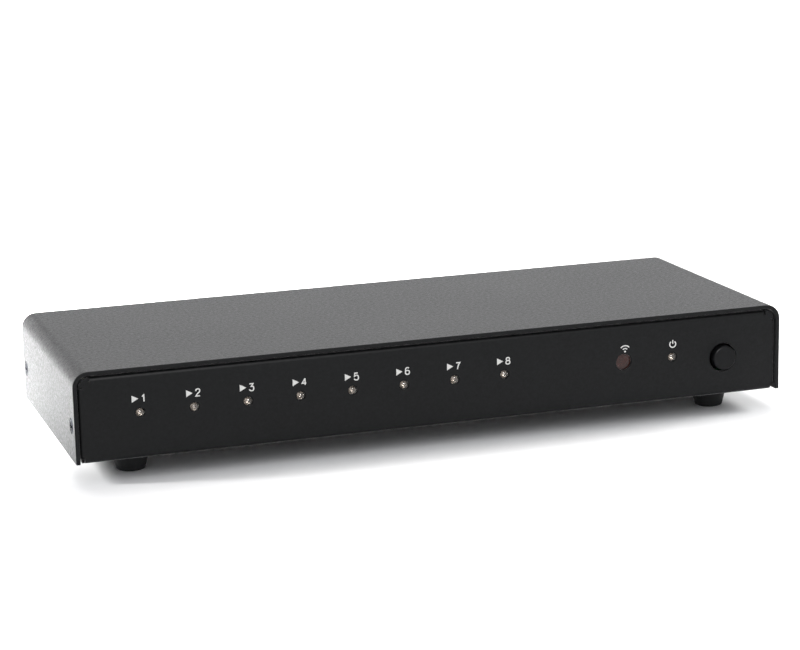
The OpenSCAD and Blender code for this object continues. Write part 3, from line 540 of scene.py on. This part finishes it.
# control points of the numbers on a unit square: a doubled point is a corner, and a stroke that
# comes back to its first point is a ring
digitStrokes = {
    "1": [[(0.16, 0.74), (0.58, 1), (0.58, 1), (0.58, 0)]],
    "2": [[(0.06, 0.74), (0.06, 1.03), (0.92, 1.06), (0.98, 0.6), (0.4, 0.36), (0.02, 0), (0.02, 0),
           (0.98, 0)]],
    "3": [[(0.06, 1), (0.94, 1), (0.94, 1), (0.44, 0.6), (0.44, 0.6), (1.06, 0.64), (1.06, -0.04),
           (0.28, -0.06), (0, 0.17)]],
    "4": [[(0.74, 0), (0.74, 1)], [(0.74, 1), (0, 0.28), (0, 0.28), (1, 0.28)]],
    "5": [[(0.92, 1), (0.16, 1), (0.16, 1), (0.09, 0.52), (0.09, 0.52), (0.34, 0.68), (1.06, 0.64),
           (1.06, -0.04), (0.28, -0.06), (0, 0.16)]],
    "6": [[(0.88, 0.94), (0.62, 1.06), (0.1, 0.98), (0, 0.62), (0, 0.3)],
          [(0, 0), (1, 0), (1, 0.6), (0, 0.6), (0, 0)]],
    "7": [[(0.03, 1), (0.98, 1), (0.98, 1), (0.5, 0.52), (0.36, 0)]],
    "8": [[(0, 0), (1, 0), (1, 0.54), (0, 0.54), (0, 0)],
          [(0.08, 0.54), (0.92, 0.54), (0.92, 1), (0.08, 1), (0.08, 0.54)]],
}


# cuts the corners of the control polygon, save at doubled points, and keeps the path clear of those
def smoothPath(points, closed, clear, rounds=3):
    corners = [p for p, q in zip(points, points[1:]) if p == q]
    for _ in range(rounds):
        pairs = zip(points, points[1:] + points[:1] if closed else points[1:])
        cut = [a.lerp(b, share) for a, b in pairs for share in (0.25, 0.75)]
        points = cut if closed else [points[0]] + cut + [points[-1]]
    path = []
    for i, p in enumerate(points):
        isEnd = i in (0, len(points) - 1)
        crowded = not isEnd and any(0 < (p - corner).length < clear for corner in corners)
        if not crowded and (not path or (p - path[-1]).length > 1e-7):
            path.append(p)
    return path


def makeMark(name, x, look, draw):
    bm = bmesh.new()
    draw(bm, look)
    bmesh.ops.recalc_face_normals(bm, faces=bm.faces)
    mesh = bpy.data.meshes.new(name)
    bm.to_mesh(mesh)
    bm.free()
    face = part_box("chassis")[0].y
    stand = Matrix.Translation((x * mm, face, look["aboveMm"] * mm)) @ Matrix.Rotation(pi / 2, 4, "X")
    mesh.transform(stand)
    return addPiece(name, mesh, finishes["white_ink"])


def drawInput(digit):
    def draw(bm, look):
        high, width, depth = (look[key] * mm for key in ("heightMm", "strokeMm", "depthMm"))
        arrow, gap, wide = (look[key] * mm for key in ("arrowMm", "numberGapMm", "numberWideMm"))
        left, half = -(arrow + gap + wide) / 2, high * look["arrowShare"] / 2
        inkPatch(bm, [Vector((left, -half)), Vector((left + arrow, 0)), Vector((left, half))], depth)
        corner = Vector((left + arrow + gap + width / 2, (width - high) / 2))
        for k, controls in enumerate(digitStrokes[digit]):
            closed = controls[0] == controls[-1]
            points = [corner + Vector((x * (wide - width), y * (high - width))) for x, y in controls]
            path = smoothPath(points[:-1] if closed else points, closed, look["cornerClear"] * width)
            inkStroke(bm, path, width, depth + k * look["layerMm"] * mm, closed)
    return draw


def drawEye(bm, look):
    high, width, depth = (look[key] * mm for key in ("heightMm", "strokeMm", "depthMm"))
    foot = Vector((0, -high / 2 + look["dotUpMm"] * mm))
    inkPatch(bm, arcPoints(foot, look["dotMm"] * mm, 0, 345, 23), depth)
    for radius in look["waveMm"]:
        inkStroke(bm, arcPoints(foot, radius * mm, *look["waveSpan"], 20), width, depth)


def drawPower(bm, look):
    high, width, depth = (look[key] * mm for key in ("heightMm", "strokeMm", "depthMm"))
    radius, rise = high / 2 - width / 2, look["barUpMm"] * mm
    centre = Vector((0, -look["ringDownMm"] * mm))
    inkStroke(bm, arcPoints(centre, radius, *look["ringSpan"], 40), width, depth)
    inkStroke(bm, [Vector((0, rise)), Vector((0, high / 2 + rise))], width, depth)


for i in range(8):
    x = inkMarks["firstInputMm"] + inkMarks["inputShiftMm"] + inkMarks["inputPitchMm"] * i
    makeMark("inputMark_" + str(i + 1), x, inkMarks, drawInput(str(i + 1)))
makeMark("eyeMark", inkMarks["eyeMm"], inkMarks, drawEye)
makeMark("powerMark", inkMarks["powerMm"], inkMarks, drawPower)
print("marks printed: 10")


# lead frame inside each light: a post that carries a polished cup, and the thinner post beside it
lightFrame = {
    "cupMm": 1.5,           # width of the cup's rim
    "cupDeepMm": 0.75, "lipMm": 0.04, "cupShiftMm": -0.12, "postMm": 0.55,
    "sideMm": 1.0922,       # from the light's axis to the thinner post
    "behindTipMm": 2.0, "endMm": 5.1,
}


# a turned shape about a line along Y, from an outline of radii and depths
def turnedShape(bm, profile, centre, steps=28):
    rings = []
    for radius, y in profile:
        if radius < 1e-6:
            rings.append([bm.verts.new((centre, y, 0))])
            continue
        turns = [2 * pi * k / steps for k in range(steps)]
        rings.append([bm.verts.new((centre + radius * cos(t), y, radius * sin(t))) for t in turns])
    for a, b in zip(rings, rings[1:]):
        for k in range(steps):
            n = (k + 1) % steps
            corners = [a[k % len(a)], a[n % len(a)], b[n % len(b)], b[k % len(b)]]
            bm.faces.new(list(dict.fromkeys(corners)))


def makeLightFrame(look):
    cup, deep, post = look["cupMm"] * mm / 2, look["cupDeepMm"] * mm, look["postMm"] * mm / 2
    front, end, lip = (look[key] * mm for key in ("behindTipMm", "endMm", "lipMm"))
    bm = bmesh.new()
    # from the cup's floor over its rim and back along the post
    turnedShape(bm, [
        (0, front + deep * 0.75), (cup * 0.42, front + deep * 0.75), (cup * 0.9, front + lip),
        (cup * 0.95, front), (cup, front + lip), (cup * 0.86, front + deep),
        (post * 1.3, front + deep * 1.5), (post, front + deep * 2), (post, end), (0, end),
    ], look["cupShiftMm"] * mm)
    turnedShape(bm, [
        (0, front + deep * 0.7), (post * 0.5, front + deep * 0.7), (post * 0.62, front + deep * 0.85),
        (post * 0.62, end), (0, end),
    ], look["sideMm"] * mm)
    bmesh.ops.recalc_face_normals(bm, faces=bm.faces)
    mesh = bpy.data.meshes.new("lightFrame")
    bm.to_mesh(mesh)
    bm.free()
    for face in mesh.polygons:
        face.use_smooth = True
    return mesh


silver = makeSilverFrame(silverFrame)
for name in ["input_light_" + str(i + 1) for i in range(8)] + ["power_light"]:
    low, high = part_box(name)
    mesh = makeLightFrame(lightFrame)
    mesh.transform(Matrix.Translation(((low.x + high.x) / 2, low.y, (low.z + high.z) / 2)))
    addPiece("frame_of_" + name, mesh, silver)
print("light frames made: 9")


# pale paper floor, matt, with a faint fibre
paperFloor = {
    "dark": "#f6f6f6", "light": "#f8f8f8", "rough": (0.85, 0.95),
    "fibreMm": 6.0, "fibreRelief": (0.01, 0.1),
    "halfM": 8.0, "belowMm": 0.02,
}


def makeFloor(look):
    surface = {"IOR": 1.5, "Specular IOR Level": 0.1}
    material, tree, shader, place = newMaterial("paperFloor", surface)
    fibre = addNode(tree, "TexNoise", {"Scale": perMetre(look["fibreMm"]), "Detail": 3.0},
                    {"Vector": place}).outputs["Fac"]
    dressSurface(tree, shader, look, fibre, [(fibre, *look["fibreRelief"])])
    half = look["halfM"]
    mesh = bpy.data.meshes.new("paperFloor")
    corners = [(-half, -half, 0), (half, -half, 0), (half, half, 0), (-half, half, 0)]
    mesh.from_pydata(corners, [], [(0, 1, 2, 3)])
    mesh.materials.append(material)
    floor = bpy.data.objects.new("paperFloor", mesh)
    floor.location.z = -look["belowMm"] * mm
    scene.collection.objects.link(floor)
    return floor


floor = makeFloor(paperFloor)
print("floor laid")


# white sweep of the studio: even light all round, white wherever it is seen or mirrored
studio = {"ambient": 0.68, "ambientTint": "#fbfcff"}
softboxes = {    # place, aim and size in metres, power in watts, spread in degrees
    "topBox": {    # the large soft lamp over the back, which lays the shadow before the front
        "place": (0.25, 0.55, 1.4), "aim": (0, 0, 0), "size": (1.4, 0.9),
        "watts": 18.0, "spread": 180, "tint": "#fffdfb", "role": "key",
    },
    "leftBox": {    # gridded and flagged lamp that only whitens the paper along the left side
        "place": (-0.55, 0.18, 0.25), "aim": (-0.15, 0.19, 0), "size": (0.28, 0.12),
        "watts": 2.4, "spread": 35, "tint": "#ffffff", "role": "paper",
    },
    "rightBox": {    # its weaker partner, which keeps the shadow under the right end short
        "place": (0.55, 0.07, 0.22), "aim": (0.15, 0.05, 0), "size": (0.26, 0.12),
        "watts": 0.24, "spread": 36, "tint": "#ffffff", "role": "paper",
    },
    "backBox": {    # gridded and flagged lamp that only whitens the paper far behind the box
        "place": (0.1, 1.9, 1.2), "aim": (0.1, 1.9, 0), "size": (2.6, 1.0),
        "watts": 22.0, "spread": 60, "tint": "#ffffff", "role": "paper",
    },
    "frontBox": {    # lamp high at the front left that shows in gloss only, the highlight on each light
        "place": (-0.35, -0.85, 0.95), "aim": (0, 0, 0), "size": (0.7, 0.5),
        "watts": 22.0, "spread": 180, "tint": "#ffffff", "role": "gloss",
    },
}


def makeStudio(look, boxes, floor):
    paper = bpy.data.collections.new("litPaper")
    paper.objects.link(floor)
    world = bpy.data.worlds.new("whiteSweep")
    scene.world = world
    world.use_nodes = True
    tree = world.node_tree
    tree.nodes.clear()
    rays = addNode(tree, "LightPath")
    seen = addNode(tree, "Math", {"operation": "MAXIMUM"},
                   {0: rays.outputs["Is Camera Ray"], 1: rays.outputs["Is Glossy Ray"]})
    seen = addNode(tree, "Math", {"operation": "MAXIMUM"},
                   {0: seen.outputs[0], 1: rays.outputs["Is Transmission Ray"]})
    ambient = addNode(tree, "Background", {"Color": look["ambientTint"], "Strength": look["ambient"]})
    white = addNode(tree, "Background", {"Color": "#ffffff", "Strength": 1.0})
    mix = addNode(tree, "MixShader", None,
                  {0: seen.outputs[0], 1: ambient.outputs[0], 2: white.outputs[0]})
    addNode(tree, "OutputWorld", None, {"Surface": mix.outputs[0]})
    for name, box in boxes.items():
        data = bpy.data.lights.new(name, "AREA")
        data.shape = "RECTANGLE"
        data.size, data.size_y = box["size"]
        data.energy = box["watts"]
        data.color = hexToLinear(box["tint"])[:3]
        data.spread = radians(box["spread"])
        lamp = bpy.data.objects.new(name, data)
        lamp.location = box["place"]
        aim = Vector(box["aim"]) - Vector(box["place"])
        lamp.rotation_euler = aim.to_track_quat("-Z", "Y").to_euler()
        lamp.visible_diffuse = box["role"] != "gloss"
        if box["role"] == "paper":
            lamp.light_linking.receiver_collection = paper
        scene.collection.objects.link(lamp)


makeStudio(studio, softboxes, floor)
print("studio lit")

bpy.context.view_layer.update()
